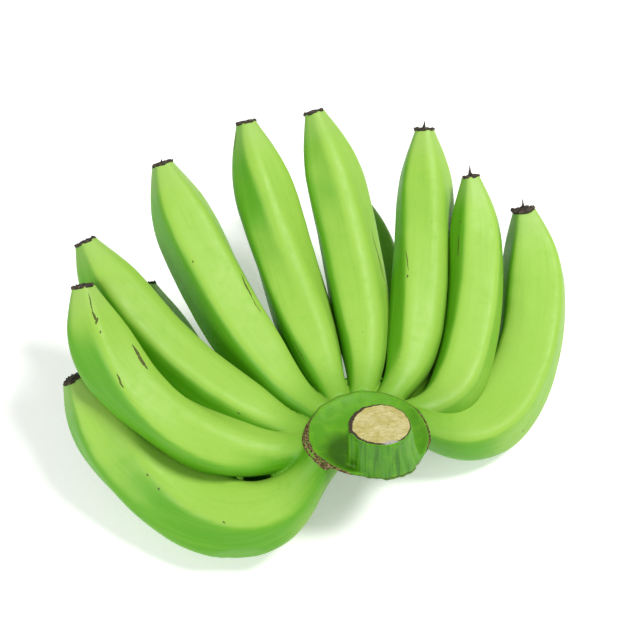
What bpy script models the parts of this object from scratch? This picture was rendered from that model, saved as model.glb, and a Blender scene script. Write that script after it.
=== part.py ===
"""A hand of green bananas, thirteen fingers grown together on one crown, lying on its bellies.

Metres, +Z up.  The crown's cut stub points up and leans back, the fingers fan out to the left,
the back (+Y) and the right, and their tips curve up.  The whole hand is one closed body.
"""
import math
from collections import namedtuple

import bmesh
import bpy
from mathutils import Matrix, Vector

MM = 0.001

# The crown: the cushion that carries the fingers, with the cut stub on its front half.
CROWN_CENTRE = Vector((0.0238, -0.0771, 0.0600))
CROWN_LEAN = 14.0
CROWN_SIDES = 30

# The cushion's rings from the dish inside its lip, over the lip and down its underside, which draws
# back under the lip: radius, height over the lip's plane and shift to the back, in millimetres.
CUSHION_RINGS = ((17.0, -2.3, 0.0), (27.0, -1.4, 0.0), (31.4, 0.4, 0.0), (33.0, 0.6, 0.0),
                 (33.8, -0.6, 0.0), (32.6, -2.5, 0.3), (29.5, -8.0, 4.5), (25.5, -14.0, 9.0),
                 (21.5, -20.0, 12.5), (16.5, -27.0, 15.0), (9.0, -33.0, 16.5))

# The stub's rings from its foot inside the cushion to the cut: half width across and from front to
# back, height, and the centre across and towards the back, in millimetres.
STUB_RINGS = ((16.0, 13.0, -12.0, 7.0, -14.0), (18.6, 15.4, -3.0, 7.6, -17.2),
              (18.0, 15.4, 3.0, 6.8, -16.9), (17.5, 15.4, 12.0, 5.7, -16.4),
              (17.4, 15.6, 23.2, 5.0, -16.0), (16.6, 14.8, 24.0, 5.0, -16.0))

# Where the two rows of fingers leave the crown, in its own tilted frame: distance from its axis and
# depth under its lip.
ROOT_RADII = (30.0 * MM, 25.0 * MM)
ROOT_DEPTHS = (8.0 * MM, 22.0 * MM)

# How every finger swells, tapers and ends, as shares of its length and of its half thickness.
NECK_SHARE = 0.50
SWELL_POWER = 2.2
TIP_SHARE = 0.36
TIP_START = 0.68
TIP_DROP = 0.8
TIP_POWER = 3.2
RIDGE_COUNT = 5
RIDGE_HEIGHT = 0.035
BODY_BEND = 0.12
PATH_STEPS = 120
FINGER_SIDES = 15
RING_STATIONS = (0.0, 0.05, 0.10, 0.15, 0.20, 0.26, 0.33, 0.41, 0.49, 0.57, 0.65, 0.73,
                 0.80, 0.85, 0.89, 0.925, 0.955, 0.98, 1.0)

# The rounded end that a finger starts with inside the crown: how far back and how wide, in necks.
ROOT_ENDS = ((0.80, 0.45), (0.50, 0.80))

# The dried remnant of the flower on each tip: length beyond the tip, and share of the half thickness.
BLOSSOM_RINGS = ((0.8 * MM, 0.28), (3.5 * MM, 0.24))

FLOOR_CUT = 0.05
MERGE_DISTANCE = 0.01 * MM
CUT_FACE_BAND = 0.2 * MM
SHARP_ANGLE = 45.0

# around: degrees round the crown, 0 at the back and positive to the right.  row: 0 upper, 1 lower.
# heading and rise: degrees at the root, along the body and at the tip; heading 0 runs to the back,
# positive to the right, and rise is above the level.  length and thickness are in millimetres.
# bend: share of the length over which the neck turns.  swell: share by which it has thickened.
# roll: degrees by which the ridges are turned.
Finger = namedtuple("Finger", "around row heading rise length thickness bend swell roll")
FINGERS = (
    Finger(-118, 0, (-131, -76, -34), (-41, -27, 47), 194, 41.0, 0.54, 0.19, 0),
    Finger(-102, 0, (-76, -95, -13), (-23, 0, 41), 179, 37.7, 0.18, 0.26, 20),
    Finger(-82, 0, (-60, -67, -34), (-20, 1, 39), 184, 38.3, 0.29, 0.21, 10),
    Finger(-51, 0, (-46, -38, -25), (-12, 1, 42), 192, 38.0, 0.35, 0.24, 25),
    Finger(-30, 0, (-18, -19, -18), (-11, 1, 41), 197, 36.1, 0.30, 0.22, 5),
    Finger(-7, 0, (7, -1, -23), (-10, 1, 43), 197, 36.2, 0.34, 0.24, 15),
    Finger(17, 0, (33, 11, -2), (-9, 1, 43), 186, 34.9, 0.36, 0.22, 30),
    Finger(39, 0, (71, 27, -12), (-18, 0, 43), 175, 31.6, 0.35, 0.18, 0),
    Finger(63, 0, (81, 55, -21), (-39, -21, 51), 205, 39.8, 0.42, 0.20, 10),
    Finger(-98, 1, (-86, -80, -44), (-54, -20.5, 24), 126, 29, 0.30, 0.19, 0),
    Finger(-66, 1, (-64, -63, -20), (-33, -17.4, 26), 173, 30, 0.30, 0.19, 12),
    Finger(8, 1, (15, 13, -21), (-23, -16.3, 25), 181, 32, 0.30, 0.19, 20),
    Finger(42, 1, (44, 28, 8), (-31, -17.2, 22), 152, 31, 0.30, 0.19, 8),
)

PEEL_GREEN = (0.20, 0.47, 0.035, 1.0)
CUT_CREAM = (0.62, 0.50, 0.25, 1.0)
DRIED_BROWN = (0.055, 0.035, 0.020, 1.0)
PEEL, CUT, DRIED = 0, 1, 2


def clear_scene():
    for obj in list(bpy.data.objects):
        bpy.data.objects.remove(obj, do_unlink=True)


def new_collection(name):
    collection = bpy.data.collections.new(name)
    bpy.context.scene.collection.children.link(collection)
    return collection


def new_material(name, colour, roughness):
    material = bpy.data.materials.new(name)
    material.use_nodes = True
    shader = material.node_tree.nodes["Principled BSDF"]
    shader.inputs["Base Color"].default_value = colour
    shader.inputs["Roughness"].default_value = roughness
    shader.inputs["Metallic"].default_value = 0.0
    return material


def hand_materials():
    return (new_material("green_peel", PEEL_GREEN, 0.42),
            new_material("cut_flesh", CUT_CREAM, 0.85),
            new_material("dried_blossom", DRIED_BROWN, 0.90))


def new_object(name, mesh, collection, materials):
    obj = bpy.data.objects.new(name, mesh)
    for material in materials:
        mesh.materials.append(material)
    collection.objects.link(obj)
    return obj


def crown_frame():
    """The crown's tilted frame: +Z along the stub, +Y to the back, with its origin in the lip's plane."""
    return Matrix.Translation(CROWN_CENTRE) @ Matrix.Rotation(-math.radians(CROWN_LEAN), 4, "X")


def smooth_step(value):
    value = min(max(value, 0.0), 1.0)
    return value * value * (3.0 - 2.0 * value)


def direction(heading, rise):
    heading = math.radians(heading)
    rise = math.radians(rise)
    return Vector((math.sin(heading) * math.cos(rise), math.cos(heading) * math.cos(rise), math.sin(rise)))


def bent(finger, share, angles):
    """An angle along a finger: a quick turn over its neck, then a steady one to its tip."""
    root, body, tip = angles
    neck_turn = smooth_step(share / finger.bend)
    body_turn = max(0.0, share - BODY_BEND) / (1.0 - BODY_BEND)
    return root + (body - root) * neck_turn + (tip - body) * body_turn


def girth(finger, share):
    """Half thickness along a finger, as a share of the fullest: thin neck, full body, bottle-nosed tip."""
    neck = NECK_SHARE + (1.0 - NECK_SHARE) * (1.0 - math.exp(-(share / finger.swell) ** SWELL_POWER))
    along_tip = max(0.0, share - TIP_START) / (1.0 - TIP_START)
    drop = (1.0 - math.exp(-TIP_DROP * along_tip ** TIP_POWER)) / (1.0 - math.exp(-TIP_DROP))
    return neck * (1.0 - (1.0 - TIP_SHARE) * drop)


def finger_root(finger):
    around = math.radians(finger.around)
    radius = ROOT_RADII[finger.row]
    local = Vector((radius * math.sin(around), radius * math.cos(around), -ROOT_DEPTHS[finger.row]))
    return crown_frame() @ local


def centreline(finger):
    """Points of a finger's middle line, from its root to its tip."""
    point = finger_root(finger)
    step = finger.length * MM / PATH_STEPS
    points = [point.copy()]
    for index in range(PATH_STEPS):
        share = (index + 0.5) / PATH_STEPS
        point = point + step * direction(bent(finger, share, finger.heading), bent(finger, share, finger.rise))
        points.append(point.copy())
    return points


def section(centre, heading, rise, radius, ridge, roll):
    """One ring of a finger, square to its middle line: a circle drawn out into soft ridges."""
    side = Vector((math.cos(math.radians(heading)), -math.sin(math.radians(heading)), 0.0))
    upward = side.cross(direction(heading, rise))
    ring = []
    for index in range(FINGER_SIDES):
        angle = 2.0 * math.pi * index / FINGER_SIDES
        swell = 1.0 + ridge * math.cos(RIDGE_COUNT * (angle - math.radians(roll)))
        offset = side * math.cos(angle) + upward * math.sin(angle)
        ring.append(centre + offset * radius * swell)
    return ring


def finger_rings(finger):
    """The finger's rings, from the rounded end sunk in the crown to the dried blossom on its tip."""
    half = 0.5 * finger.thickness * MM
    points = centreline(finger)
    rings = []
    start = direction(finger.heading[0], finger.rise[0])
    neck = half * NECK_SHARE
    for back, share in ROOT_ENDS:
        rings.append(section(points[0] - start * neck * back, finger.heading[0], finger.rise[0],
                             neck * share, 0.0, finger.roll))
    for share in RING_STATIONS:
        place = share * PATH_STEPS
        low = min(int(place), PATH_STEPS - 1)
        centre = points[low].lerp(points[low + 1], place - low)
        ridge = RIDGE_HEIGHT * math.sin(math.pi * share) ** 0.5 if 0.0 < share < 1.0 else 0.0
        rings.append(section(centre, bent(finger, share, finger.heading), bent(finger, share, finger.rise),
                             half * girth(finger, share), ridge, finger.roll))
    end = direction(finger.heading[2], finger.rise[2])
    for length, share in BLOSSOM_RINGS:
        rings.append(section(points[-1] + end * length, finger.heading[2], finger.rise[2],
                             half * share, 0.0, finger.roll))
    return rings


def loft(name, rings, collection, materials, last_material=PEEL):
    """A closed body through rings of equal count, with flat ends; the last band and end differ in colour."""
    shape = bmesh.new()
    loops = [[shape.verts.new(point) for point in ring] for ring in rings]
    count = len(loops[0])
    for number, (low, high) in enumerate(zip(loops, loops[1:])):
        for index in range(count):
            after = (index + 1) % count
            face = shape.faces.new((low[index], low[after], high[after], high[index]))
            if number == len(rings) - 2:
                face.material_index = last_material
    shape.faces.new(reversed(loops[0]))
    shape.faces.new(loops[-1]).material_index = last_material
    bmesh.ops.triangulate(shape, faces=shape.faces[:])
    bmesh.ops.recalc_face_normals(shape, faces=shape.faces[:])
    mesh = bpy.data.meshes.new(name)
    shape.to_mesh(mesh)
    shape.free()
    return new_object(name, mesh, collection, materials)


def oval(across, deep, height, centre_across, centre_deep):
    """One ring in the crown's frame, from sizes in millimetres."""
    frame = crown_frame()
    ring = []
    for index in range(CROWN_SIDES):
        turn = 2.0 * math.pi * index / CROWN_SIDES
        local = Vector((centre_across + across * math.cos(turn), centre_deep + deep * math.sin(turn), height))
        ring.append(frame @ (local * MM))
    return ring


def add_cushion(collection, materials):
    """The crown's cushion: a shallow dish inside its lip and an underside drawn back under it."""
    rings = [oval(radius, radius, height, 0.0, shift) for radius, height, shift in CUSHION_RINGS]
    return loft("banana_hand", rings, collection, materials)


def add_stub(collection, materials):
    """The oval stub on the crown: it flares at its foot and ends in the flat cut face."""
    return loft("stub", [oval(*ring) for ring in STUB_RINGS], collection, materials)


def add_floor_cutter(collection):
    """A slab below the surface that the hand lies on: it leaves a small flat on each low belly."""
    bpy.ops.mesh.primitive_cube_add(size=1.0, location=(0.0, 0.0, -0.5 * FLOOR_CUT))
    slab = bpy.context.active_object
    slab.name = "floor_cutter"
    slab.scale = (1.0, 1.0, FLOOR_CUT)
    slab.hide_render = True
    slab.display_type = "WIRE"
    for owner in list(slab.users_collection):
        owner.objects.unlink(slab)
    collection.objects.link(slab)
    return slab


def apply_modifiers(obj):
    """Replace the object's mesh with what its modifiers make, in world space."""
    graph = bpy.context.evaluated_depsgraph_get()
    mesh = bpy.data.meshes.new_from_object(obj.evaluated_get(graph))
    mesh.transform(obj.matrix_world)
    obj.modifiers.clear()
    obj.data = mesh
    obj.matrix_world = Matrix.Identity(4)


def boolean(obj, operation, tool):
    """Cut or join by the tool, an object or a whole collection, and keep the result as the mesh."""
    modifier = obj.modifiers.new(operation.lower(), "BOOLEAN")
    modifier.operation = operation
    modifier.solver = "EXACT"
    if isinstance(tool, bpy.types.Collection):
        modifier.operand_type = "COLLECTION"
        modifier.collection = tool
    else:
        modifier.object = tool
    apply_modifiers(obj)


def connected_bodies(shape):
    """The vertex groups of a mesh that hang together."""
    left = set(shape.verts)
    bodies = []
    while left:
        body = set()
        front = [left.pop()]
        while front:
            vert = front.pop()
            body.add(vert)
            for edge in vert.link_edges:
                other = edge.other_vert(vert)
                if other in left:
                    left.remove(other)
                    front.append(other)
        bodies.append(body)
    return bodies


def tidy(obj):
    """Merge what the cuts left closer than a hundredth of a millimetre and fill pockets sealed inside."""
    shape = bmesh.new()
    shape.from_mesh(obj.data)
    bmesh.ops.remove_doubles(shape, verts=shape.verts[:], dist=MERGE_DISTANCE)
    bmesh.ops.dissolve_degenerate(shape, edges=shape.edges[:], dist=MERGE_DISTANCE)
    bodies = connected_bodies(shape)
    largest = max(bodies, key=len)
    spare = [vert for body in bodies if body is not largest for vert in body]
    bmesh.ops.delete(shape, geom=spare, context="VERTS")
    bmesh.ops.triangulate(shape, faces=shape.faces[:])
    shape.to_mesh(obj.data)
    shape.free()


def mark_cut_face(obj):
    """Give the flat top of the stub its own colour."""
    frame = crown_frame().inverted()
    top = STUB_RINGS[-1]
    middle = Vector((top[3], top[4], top[2])) * MM
    for polygon in obj.data.polygons:
        local = frame @ polygon.center - middle
        if abs(local.z) < CUT_FACE_BAND and math.hypot(local.x, local.y) < top[0] * MM:
            polygon.material_index = CUT


def main():
    clear_scene()
    materials = hand_materials()
    parts = new_collection("banana_hand_parts")
    cutters = new_collection("cutters")
    grown = new_collection("grown_on")
    cushion = add_cushion(parts, materials)
    add_stub(grown, materials)
    for number, finger in enumerate(FINGERS, 1):
        loft(f"finger_{number:02d}", finger_rings(finger), grown, materials, DRIED)
    bpy.context.view_layer.update()
    boolean(cushion, "UNION", grown)
    for obj in list(grown.objects):
        bpy.data.objects.remove(obj, do_unlink=True)
    bpy.data.collections.remove(grown)
    boolean(cushion, "DIFFERENCE", add_floor_cutter(cutters))
    tidy(cushion)
    mark_cut_face(cushion)
    cushion.data.shade_smooth()
    cushion.data.set_sharp_from_angle(angle=math.radians(SHARP_ANGLE))


main()
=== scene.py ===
import math
from collections import namedtuple

import bmesh
import bpy
import numpy as np
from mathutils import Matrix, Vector


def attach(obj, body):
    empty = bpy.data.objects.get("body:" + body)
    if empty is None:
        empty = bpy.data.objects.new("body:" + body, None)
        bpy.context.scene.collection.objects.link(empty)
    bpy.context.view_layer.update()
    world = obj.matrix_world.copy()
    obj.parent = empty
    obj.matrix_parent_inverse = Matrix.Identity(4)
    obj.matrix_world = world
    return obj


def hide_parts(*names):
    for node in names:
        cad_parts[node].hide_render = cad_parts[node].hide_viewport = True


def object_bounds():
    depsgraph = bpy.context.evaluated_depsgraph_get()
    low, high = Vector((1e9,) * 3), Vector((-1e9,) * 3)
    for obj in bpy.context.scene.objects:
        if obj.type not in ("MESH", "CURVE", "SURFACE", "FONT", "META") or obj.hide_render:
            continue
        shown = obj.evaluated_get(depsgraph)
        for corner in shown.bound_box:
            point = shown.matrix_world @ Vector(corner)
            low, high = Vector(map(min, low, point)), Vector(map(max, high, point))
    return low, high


# The look of a hand of green bananas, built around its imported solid.  Metres, +Z up, the same frame as
# the solid.  Thirteen fingers follow the solid's own middle lines.  The crown, its stub and the starts
# of the necks are one blended skin.  The dried flower ends, the corky ring, the cut face of the stalk
# and the scars on the peel are pieces of their own.
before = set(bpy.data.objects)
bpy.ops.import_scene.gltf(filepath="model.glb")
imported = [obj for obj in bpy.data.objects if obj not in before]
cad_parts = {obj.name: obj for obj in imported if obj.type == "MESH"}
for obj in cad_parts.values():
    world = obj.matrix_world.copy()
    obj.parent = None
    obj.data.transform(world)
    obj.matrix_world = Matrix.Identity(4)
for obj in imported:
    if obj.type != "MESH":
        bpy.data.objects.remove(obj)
cad_box = [list(corner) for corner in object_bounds()]

MM = 0.001
NODE = "banana_hand"
BODY = "root"

# The crown: the middle of its lip's plane, its lean to the back and the radius of its lip.
CROWN_CENTRE = np.array((0.0238, -0.0771, 0.0600))
CROWN_LEAN = 14.0
LIP_RADIUS = 33.8 * MM

# The cushion's outline from the middle of the dish over the lip and down its underside: radius, height
# over the lip's plane and shift to the back.  The first TOP_POINTS rows are the dish and the lip.
# NECK_RAMP: how steeply the necks may rise away from the lip.
CUSHION_RINGS = np.array((
    (0.0, -2.6, 0.0), (12.0, -2.5, 0.0), (20.0, -2.2, 0.0), (26.0, -1.5, 0.0), (29.5, -0.6, 0.0),
    (31.6, 0.3, 0.0), (32.8, 0.6, 0.0), (33.5, 0.2, 0.0), (33.8, -0.7, 0.0), (33.3, -2.2, 1.2),
    (31.6, -5.0, 3.6), (29.2, -8.5, 5.8), (25.5, -14.0, 9.4), (21.5, -20.0, 12.5), (16.5, -27.0, 15.0),
    (9.0, -33.0, 16.5), (0.0, -34.5, 16.5))) * MM
TOP_POINTS = 9
NECK_RAMP = 1.1

# The stub from its foot to its top: height, half width across and from front to back, and its middle
# across and towards the back.  It is cut at STUB_TOP.
STUB_STEPS = np.array((
    (-14.0, 13.0, 9.0, 7.0, -11.0), (-8.0, 17.0, 12.5, 7.2, -13.5), (-3.0, 19.6, 15.2, 7.6, -16.4),
    (3.0, 18.8, 15.3, 7.2, -16.5), (12.0, 17.6, 15.4, 5.8, -16.2), (24.0, 17.2, 15.4, 5.0, -16.0))) * MM
STUB_TOP = 23.6 * MM

# Where the two rows of fingers leave the crown: distance from its axis and depth under its lip.
ROOT_RADII = (30.0 * MM, 25.0 * MM)
ROOT_DEPTHS = (8.0 * MM, 22.0 * MM)

# How every finger swells, tapers and bends, as shares of its length and of its half thickness.
NECK_SHARE = 0.50
SWELL_POWER = 2.2
TIP_SHARE = 0.36
TIP_START = 0.68
TIP_DROP = 0.8
TIP_POWER = 3.2
BODY_BEND = 0.12
PATH_STEPS = 120

# The fingers whose necks run close together at the back: their necks are slimmer.
BACK_FINGERS = range(3, 9)
SLIM_NECK = 0.11
SLIM_LENGTH = 27.0 * MM

# A finger's section: how square its corners are at the least, what the body and the tip add to that,
# the share of it that a rounded-off ridge loses and over what angle, how near a face may come, and how
# far to each side a ridge's own colour reaches.
CORNER_LEAST = 3.2
CORNER_BODY = 6.0
CORNER_TIP = 2.0
CORNER_LOSS = 0.85
CORNER_HALF = math.radians(34.0)
FACE_REACH = 0.87
RIDGE_HALF = math.radians(14.0)

# Slight swells of a finger: height as a share of its radius, radians along it and waves round it.
SWELLS = ((0.012, 6.9, 1.0), (0.008, 17.0, 2.0), (0.004, 39.0, 3.0), (0.0025, 71.0, 4.0))

# Waves round the crown's lip and round the stub: height as a share of the radius, count and start.
LIP_WAVES = ((0.012, 2.0, 0.6), (0.008, 3.0, 2.1), (0.005, 7.0, 0.9), (0.003, 17.0, 1.7))
STUB_WAVES = ((0.012, 3.0, 2.4),)
RIB_WAVES = ((0.022, 9.0, 0.4), (0.017, 14.0, 1.9), (0.014, 25.0, 0.3))

# How much flatter the lip is in front, the stub's groove in degrees and as a share of its radius, and
# the height under the cut over which the ribs and the groove fade to their faintest.
LIP_FLATTER = 0.060
GROOVE_PLACE = 214.0
GROOVE_HALF = 5.0
GROOVE_DEPTH = 0.075
RIB_FADE = 10.0 * MM
RIB_FAINTEST = 0.25

# The skins: points round and along a finger, and how a finger's skin takes over from the crown's.
AROUND = 72
ALONG = 160
BACK_JOIN = 12.5 * MM
SIDE_JOIN = 44.0 * MM
JOIN_BAND = 5.0 * MM
JOIN_DIP = 0.25 * MM
JOIN_SINK = 1.6 * MM

# The blended form: how far a finger's distance is worked out and what stands in for it beyond, the
# rounding of a hard edge, and the size of the crown's faces.
REACH = 34.0 * MM
FAR = 0.05
HARD_EDGE = 0.35 * MM
VOXEL = 0.85 * MM
BOX_MARGIN = 0.02 * MM

# around: degrees round the crown, 0 at the back and positive to the right.  row: 0 upper, 1 lower.
# heading and rise: degrees at the root, along the body and at the tip; heading 0 runs to the back,
# positive to the right, and rise is above the level.  length and thickness are in millimetres.
# bend: share of the length over which the neck turns.  swell: share by which it has thickened.
# ridge: degrees round the finger of its main ridge at mid-length.  turn: how far it winds to the tip.
# gap: degrees from the main ridge to the next one on its left.  soft: which neighbour of the main ridge
# is rounded off, 1 the one on its left, -1 the one on its right, 0 none.
Finger = namedtuple("Finger", "around row heading rise length thickness bend swell ridge turn gap soft")
FINGERS = (
    Finger(-118, 0, (-131, -76, -34), (-41, -27, 47), 194, 41.0, 0.54, 0.17, 104, -90, 68, 0),
    Finger(-102, 0, (-76, -95, -13), (-23, 0, 41), 179, 37.7, 0.18, 0.23, 133, -120, 72, -1),
    Finger(-82, 0, (-60, -67, -34), (-20, 1, 39), 184, 38.3, 0.29, 0.21, 113, 0, 72, -1),
    Finger(-51, 0, (-46, -38, -25), (-12, 1, 42), 192, 38.0, 0.35, 0.24, 122, 22, 72, 0),
    Finger(-30, 0, (-18, -19, -18), (-11, 1, 41), 197, 36.1, 0.30, 0.22, 150, 75, 72, -1),
    Finger(-7, 0, (7, -1, -23), (-10, 1, 43), 197, 36.2, 0.34, 0.24, 143, 42, 72, -1),
    Finger(17, 0, (33, 11, -2), (-9, 1, 43), 186, 34.9, 0.36, 0.22, 122, 52, 72, -1),
    Finger(39, 0, (71, 27, -12), (-18, 0, 43), 175, 31.6, 0.35, 0.18, 126, -8, 64, 0),
    Finger(63, 0, (81, 55, -21), (-39, -21, 51), 205, 39.8, 0.42, 0.20, 46, 5, 96, 0),
    Finger(-98, 1, (-86, -80, -44), (-54, -20.5, 24), 126, 29, 0.30, 0.19, 100, 10, 72, 0),
    Finger(-66, 1, (-64, -63, -20), (-33, -17.4, 26), 173, 30, 0.30, 0.19, 80, -15, 72, 0),
    Finger(8, 1, (15, 13, -21), (-23, -16.3, 25), 181, 32, 0.30, 0.19, 120, 20, 72, 0),
    Finger(42, 1, (44, 28, 8), (-31, -17.2, 22), 152, 31, 0.30, 0.19, 95, 0, 72, 0),
)

# Healed scratches: finger, share of the length and degrees round it at both ends, width in millimetres.
SCARS = (
    (2, 0.765, 48.0, 0.655, 58.0, 2.2), (2, 0.705, 105.0, 0.655, 113.0, 0.9),
    (2, 0.985, 74.0, 0.920, 85.0, 0.7), (2, 0.925, 85.0, 0.885, 85.0, 1.2),
    (2, 0.900, 80.0, 0.880, 90.0, 1.3), (2, 0.856, 88.0, 0.846, 90.0, 0.8),
    (4, 0.570, 49.0, 0.470, 55.0, 1.0), (4, 0.475, 55.0, 0.415, 54.0, 0.5),
    (4, 0.676, 118.0, 0.668, 119.0, 0.9), (5, 0.960, 34.0, 0.890, 16.0, 0.9),
    (5, 0.262, 138.0, 0.170, 140.0, 0.6), (5, 0.985, 170.0, 0.930, 172.0, 0.9),
    (6, 0.600, 34.0, 0.440, 20.0, 0.9), (6, 0.520, 24.0, 0.430, 15.0, 0.7),
    (7, 0.580, 125.0, 0.500, 116.0, 0.5), (7, 0.486, 117.0, 0.474, 118.0, 0.9),
    (8, 0.856, 138.0, 0.845, 139.0, 0.8), (8, 0.800, 142.0, 0.715, 140.0, 1.2),
    (9, 0.338, 5.0, 0.326, 5.0, 0.8), (1, 0.630, 103.0, 0.620, 103.0, 0.8),
    (1, 0.570, 108.0, 0.560, 109.0, 0.8), (1, 0.330, 117.0, 0.322, 118.0, 0.9),
    (3, 0.258, 124.0, 0.246, 124.0, 0.8), (3, 0.560, 262.0, 0.430, 268.0, 1.1),
    (6, 0.640, 250.0, 0.520, 262.0, 1.3), (9, 0.620, 300.0, 0.500, 292.0, 1.1),
    (1, 0.500, 250.0, 0.400, 256.0, 1.4), (12, 0.600, 200.0, 0.480, 210.0, 1.0),
    (8, 0.500, 280.0, 0.410, 272.0, 0.9),
)

# Where a finger bulges or is pressed in by its neighbour: finger, middle and half width along its length,
# middle and half width round it in degrees, and height in millimetres.
PRESSED = (
    (1, 0.60, 0.28, 48.0, 50.0, 6.5), (1, 0.36, 0.13, 62.0, 42.0, 2.5), (1, 0.32, 0.18, 182.0, 50.0, -0.8),
    (2, 0.55, 0.20, 215.0, 50.0, -6.0), (10, 0.50, 0.60, 0.0, 900.0, -4.0),
)

# Tips that kept a tall thread of the dried flower, with its height in millimetres.
THREADS = {7: 6.0, 8: 7.5, 9: 7.5, 4: 3.5, 10: 2.5, 12: 3.0}


def smooth_step(value):
    """0 to 1, easing in and out."""
    value = np.clip(value, 0.0, 1.0)
    return value * value * (3.0 - 2.0 * value)


def smooth_max(first, second):
    """The larger of two signed distances, with the corner where they cross rounded over."""
    return np.maximum(first, second) + HARD_EDGE * np.log1p(np.exp(-np.abs(first - second) / HARD_EDGE))


def waves(around, table):
    """The sum of some waves round an outline."""
    return sum(height * np.cos(count * around + start) for height, count, start in table)


def turned_away(angle, other):
    """The turn from one angle to another, between half a turn back and half a turn on."""
    return np.angle(np.exp(1j * (angle - other)))


def bent(finger, share, angles):
    """An angle along a finger in radians: a quick turn over its neck, then a steady one to its tip."""
    root, body, tip = angles
    neck_turn = smooth_step(share / finger.bend)
    body_turn = np.maximum(0.0, share - BODY_BEND) / (1.0 - BODY_BEND)
    return np.radians(root + (body - root) * neck_turn + (tip - body) * body_turn)


def direction(heading, rise):
    """The way that a heading and a rise point."""
    flat = np.cos(rise)
    return np.stack((np.sin(heading) * flat, np.cos(heading) * flat, np.sin(rise)), axis=-1)


def girth(finger, share):
    """Half thickness along a finger, as a share of the fullest: thin neck, full body, bottle-nosed tip."""
    share = np.clip(share, 0.0, 1.0)
    neck = NECK_SHARE + (1.0 - NECK_SHARE) * (1.0 - np.exp(-(share / finger.swell) ** SWELL_POWER))
    along_tip = np.maximum(0.0, share - TIP_START) / (1.0 - TIP_START)
    drop = (1.0 - np.exp(-TIP_DROP * along_tip ** TIP_POWER)) / (1.0 - math.exp(-TIP_DROP))
    return neck * (1.0 - (1.0 - TIP_SHARE) * drop)


def crown_axes():
    """Rows: the crown's own x, y and z directions."""
    lean = math.radians(CROWN_LEAN)
    return np.array(((1.0, 0.0, 0.0),
                     (0.0, math.cos(lean), -math.sin(lean)),
                     (0.0, math.sin(lean), math.cos(lean))))


CROWN_AXES = crown_axes()


def to_crown(points):
    return (points - CROWN_CENTRE) @ CROWN_AXES.T


def from_crown(points):
    return np.asarray(points) @ CROWN_AXES + CROWN_CENTRE


def raw_pentagon(angle, faces, reach, sharp):
    """Radius of a section with five faces, its corners squarer as sharp grows."""
    total = 0.0
    for face, out in zip(faces, reach):
        total = total + (np.maximum(np.cos(angle - face), 0.0) / out) ** sharp
    return total ** (-1.0 / sharp)


def even_pentagon_scale(sharp):
    """What brings an even five-sided section's mean radius to 1."""
    angle = np.linspace(0.0, math.tau, 720, endpoint=False)
    return 1.0 / np.mean(raw_pentagon(angle, np.radians(np.arange(36, 396, 72)), np.ones(5), sharp))


SHARP_STEPS = np.linspace(2.5, 16.0, 28)
SHARP_SCALE = np.array([even_pentagon_scale(sharp) for sharp in SHARP_STEPS])


def pentagon(angle, faces, reach, sharp):
    """Radius of a five-sided section with rounded corners, 1 in the mean for even faces."""
    return raw_pentagon(angle, faces, reach, sharp) * np.interp(sharp, SHARP_STEPS, SHARP_SCALE)


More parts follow.
